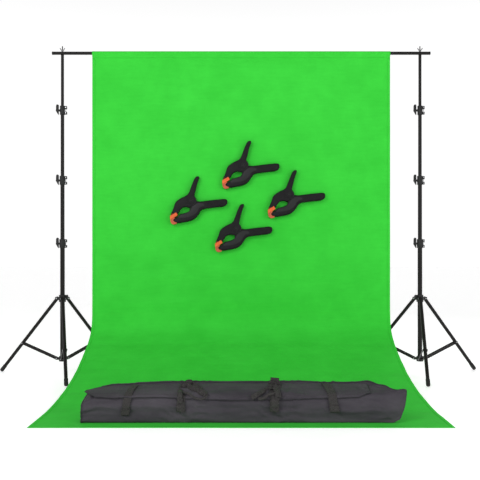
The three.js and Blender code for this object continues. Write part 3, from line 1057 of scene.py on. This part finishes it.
def make_flap():
    flap = grid_surface("bag_flap_skin", 220, 36, flap_point, NYLON)
    flap = thicken(flap, WEB_THICK)
    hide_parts("bag_flap")
    edge = [flap_point(k / 200, 1.0) for k in range(201)]
    left = [flap_point(0.0, 1 - k / 8) for k in range(8, 0, -1)]
    top = [flap_point(0.075 * (1 - k / 30), 0.0) for k in range(31)]
    right = [flap_point(1.0, 1 - k / 24) for k in range(1, 25)]
    binding = tube_along("bag_flap_binding", top + left + edge + right, 0.0026, BINDING)
    stitches = flap_stitches()
    for piece in (flap, binding, stitches):
        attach(piece, "bag_flap")


def dash_strip(points, half_width, verts, faces):
    """Adds one thread dash between two points of a surface."""
    a, b = points
    side = (b - a).cross(Vector((0, -1, 0.4))).normalized() * half_width
    k = len(verts)
    verts.extend((a - side, a + side, b + side, b - side))
    faces.append((k, k + 1, k + 2, k + 3))


def flap_stitches():
    """Two rows of thread along the flap's front edge."""
    verts, faces = [], []
    for row in (0.885, 0.935):
        for k in range(3, 205):
            dash_strip([flap_point((k + d) / 208, row, 0.0076) for d in (0, 0.6)], 0.0007, verts, faces)
    return thicken(mesh_object("bag_flap_stitches", verts, faces, THREAD), THREAD_THICK)


def surface_ribbon(name, x, width, t_low, t_high, lift, slant=0.0, steps=34):
    """A webbing strap lying on the skin of the bag between two places of its outline."""
    def point(a, b):
        t = t_low + (t_high - t_low) * b
        px = x + (a - 0.5) * width + slant * (b - 0.5)
        fray = 0.0008 * field(px * 90, b * 20, 1)
        return tuple(bag_skin((px - BAG_X) / BAG_SPAN, t, lift + fray))

    strap = grid_surface(name, 8, steps, point, WEBBING)
    return thicken(strap, WEB_THICK)


def strap_thread(x, start, end, wide, slant):
    """Dashes of thread along both edges of a strap."""
    verts, faces = [], []
    for side in (-0.42, 0.42):
        for n in range(14):
            ends = []
            for share in (0.04 + n / 15, 0.04 + (n + 0.6) / 15):
                along = x + side * wide + slant * (share - 0.5)
                t = start + (end - start) * share
                ends.append(bag_skin((along - BAG_X) / BAG_SPAN, t, 0.0141))
            dash_strip(ends, THREAD_THICK, verts, faces)
    return thicken(mesh_object("thread", verts, faces, THREAD), THREAD_THICK)


def make_straps():
    rows = [
        (STRAP_X[0], HINGE_T + 0.02, 0.24, 0.044, -0.034),
        (STRAP_X[1], front_share(0.8), 0.35, 0.046, 0.0),
        (STRAP_X[2], HINGE_T + 0.03, 0.34, 0.048, 0.004),
        (STRAP_X[3], HINGE_T + 0.015, 0.33, 0.05, 0.034),
    ]
    for k, (x, start, low, wide, slant) in enumerate(rows, 1):
        end = front_share(low)
        strap = surface_ribbon(f"bag_strap_{k}", x, wide, start, end, 0.0125, slant)
        box = surface_ribbon("box", x + slant * 0.42, wide + 0.004, end - 0.05, end - 0.004, 0.0152,
                             slant * 0.1, 8)
        strap = merge(f"bag_strap_{k}", [strap, box, strap_thread(x, start, end, wide, slant)])
        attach(strap, "bag_flap")


def on_bag(x, height, lift):
    """A place on the bag's front or top, from its offset along it and its height seen from the front."""
    d = min(max((height - 0.15) / 0.09, 0), 0.64)
    y = BAG_LOW.y + 0.004 - lift * (1 - 0.5 * d) + d * BAG_D
    far = 1 + d * BAG_D / (CAMERA_BACK - POLE_Y + BAG_LOW.y)
    z = CAMERA_HEIGHT - (CAMERA_HEIGHT - height) * far
    top = 0.15 + 0.042 * d + lift * 0.6
    return Vector((MID_X + x * far, y, BAG_LOW.z + (max(z, top) if d > 0 else z)))


def webbing_loop(name, points, half_width, twist):
    """A crumpled strand of webbing along a smooth path, turned about it by the twists given in degrees."""
    line = [Vector(p) for p in catmull(points, 10)]
    turns = [t for t, in catmull([(t,) for t in twist], 10)]
    verts = []
    wide = 10
    for k, p in enumerate(line):
        tangent = (line[min(k + 1, len(line) - 1)] - line[max(k - 1, 0)]).normalized()
        face = Vector((0, -1, 0.55))
        side = tangent.cross(face).normalized()
        face = side.cross(tangent).normalized()
        a = math.radians(turns[k])
        across = side * math.cos(a) + face * math.sin(a)
        up = face * math.cos(a) - side * math.sin(a)
        for i in range(wide + 1):
            s = i / wide * 2 - 1
            place = p + across * (s * half_width)
            crumple = fold_line(noise.noise(place * 38)) * 0.006 + noise.noise(place * 85) * 0.003
            verts.append(place + up * (0.005 * (1 - s * s) + crumple * min(half_width / 0.014, 1)))
    return thicken(mesh_object(name, verts, grid_faces(wide, len(line) - 1), WEBBING), WEB_THICK)


# Strands of each bunched handle: places seen from the front and their lift, twists in degrees, half width.
# All lengths are in millimetres.
HANDLES = {
    "bag_handle_1": [
        ([(-345, 118, 15), (-347, 156, 15), (-345, 186, 16), (-330, 208, 18), (-305, 226, 20),
          (-279, 226, 20), (-254, 205, 18), (-228, 180, 17), (-198, 152, 15)],
         [0, 8, 14, 22, 30, 24, 20, 12, 0], 15),
        ([(-330, 192, 22), (-312, 214, 25), (-296, 236, 26), (-277, 218, 27), (-254, 196, 25),
          (-232, 178, 20)],
         [0, 10, 20, 10, 0, 0], 21),
        ([(-334, 196, 26), (-306, 200, 31), (-280, 188, 32), (-254, 178, 29), (-228, 168, 24),
          (-202, 160, 18)],
         [0, 0, 5, 0, 0, 0], 17),
        ([(-302, 196, 28), (-297, 220, 28), (-294, 244, 26)], [0, 5, 10], 19),
        ([(-264, 222, 28), (-243, 206, 30), (-224, 184, 30), (-243, 172, 30), (-262, 186, 31)],
         [60, 70, 50, 30, 20], 8),
        ([(-330, 170, 20), (-296, 158, 20), (-254, 144, 18), (-212, 143, 17), (-192, 156, 15)],
         [40, 30, 20, 30, 20], 7),
    ],
    "bag_handle_2": [
        ([(191, 92, 15), (192, 134, 16), (197, 172, 18), (196, 206, 20), (190, 242, 22)],
         [0, 4, 12, -12, 10], 22),
        ([(214, 148, 22), (202, 176, 26), (178, 194, 28), (159, 218, 28), (170, 240, 28),
          (194, 236, 30), (210, 210, 28), (208, 182, 24)],
         [0, 20, 40, 70, 60, 30, 10, 0], 14),
        ([(186, 178, 30), (183, 206, 31), (188, 234, 29), (190, 262, 26)], [0, 10, -8, 4], 25),
        ([(160, 204, 26), (172, 232, 30), (186, 250, 30), (204, 246, 30), (212, 220, 28)],
         [10, 30, 40, 20, 0], 13),
        ([(204, 192, 20), (174, 188, 24), (142, 182, 22), (112, 166, 19), (82, 152, 16), (60, 146, 14)],
         [10, 30, 10, -12, 10, 0], 13),
        ([(176, 226, 30), (172, 204, 32), (186, 186, 31), (200, 164, 28), (206, 136, 22)],
         [-20, 10, 40, 10, 0], 12),
        ([(192, 160, 20), (160, 156, 20), (126, 146, 18), (96, 141, 16)],
         [20, 30, 20, 10], 8),
    ],
}


def make_handles():
    for name, strands in HANDLES.items():
        loops = []
        for points, twist, half in strands:
            path = [on_bag(x / 1000, z / 1000, lift * MM) for x, z, lift in points]
            loops.append(webbing_loop("strand", path, half * MM, twist))
        handle = merge(name, loops)
        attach(handle, "bag_flap")


make_bag_body()
make_flap()
make_straps()
make_handles()


# ---- stage, light and camera ----
def make_stage():
    floor = grid_surface("floor", 1, 1, lambda a, b: (MID_X - 40 + 80 * a, -40 + 80 * b, 0.0), None)
    floor.location.z = -0.0006
    material = Nodes("studio_floor", (0.9, 0.9, 0.9), 0.5, specular=0.3)
    material.roughness(material.span(material.noise(3), 0.42, 0.55))
    set_sockets(material.shader, Emission_Color=(1, 1, 1, 1), Emission_Strength=0.43)
    floor.data.materials[0] = material.material


def area_light(name, place, target, size, power):
    light = bpy.data.lights.new(name, "AREA")
    light.shape = "RECTANGLE"
    light.size, light.size_y = size
    light.energy = power
    obj = linked(name, light)
    obj.location = place
    obj.rotation_euler = (Vector(target) - Vector(place)).to_track_quat("-Z", "Y").to_euler()


def make_light():
    """A white surround that dims overhead, with broad soft lights from the front."""
    world = bpy.data.worlds.new("studio")
    bpy.context.scene.world = world
    world.use_nodes = True
    nodes, links = world.node_tree.nodes, world.node_tree.links
    background = nodes["Background"]
    set_sockets(background, Color=(1, 1, 1, 1))
    direction = nodes.new("ShaderNodeTexCoord")
    split = nodes.new("ShaderNodeSeparateXYZ")
    fade = nodes.new("ShaderNodeMapRange")
    set_sockets(fade, From_Min=0.3, From_Max=0.75, To_Min=1.02, To_Max=0.35)
    links.new(direction.outputs["Generated"], split.inputs["Vector"])
    links.new(split.outputs["Z"], fade.inputs["Value"])
    links.new(fade.outputs["Result"], background.inputs["Strength"])
    aim = (MID_X, POLE_Y - 0.2, 1.4)
    area_light("key", (MID_X - 2.4, POLE_Y - 5.0, 3.4), aim, (2.0, 1.8), 85)
    area_light("right", (MID_X + 3.6, POLE_Y - 4.2, 1.6), aim, (1.4, 2.2), 40)
    area_light("back", (MID_X + 1.5, POLE_Y + 4.0, 3.6), aim, (2.5, 2.0), 40)


def make_camera():
    data = bpy.data.cameras.new("camera")
    data.sensor_width = 36
    data.lens = 52.9
    data.shift_x = -0.0025
    data.shift_y = 0.0248
    camera = linked("camera", data)
    camera.location = (MID_X, POLE_Y - CAMERA_BACK, CAMERA_HEIGHT)
    camera.rotation_euler = (math.radians(90), 0, 0)
    bpy.context.scene.camera = camera


make_stage()
make_light()
make_camera()
bpy.context.scene.view_settings.view_transform = "Standard"
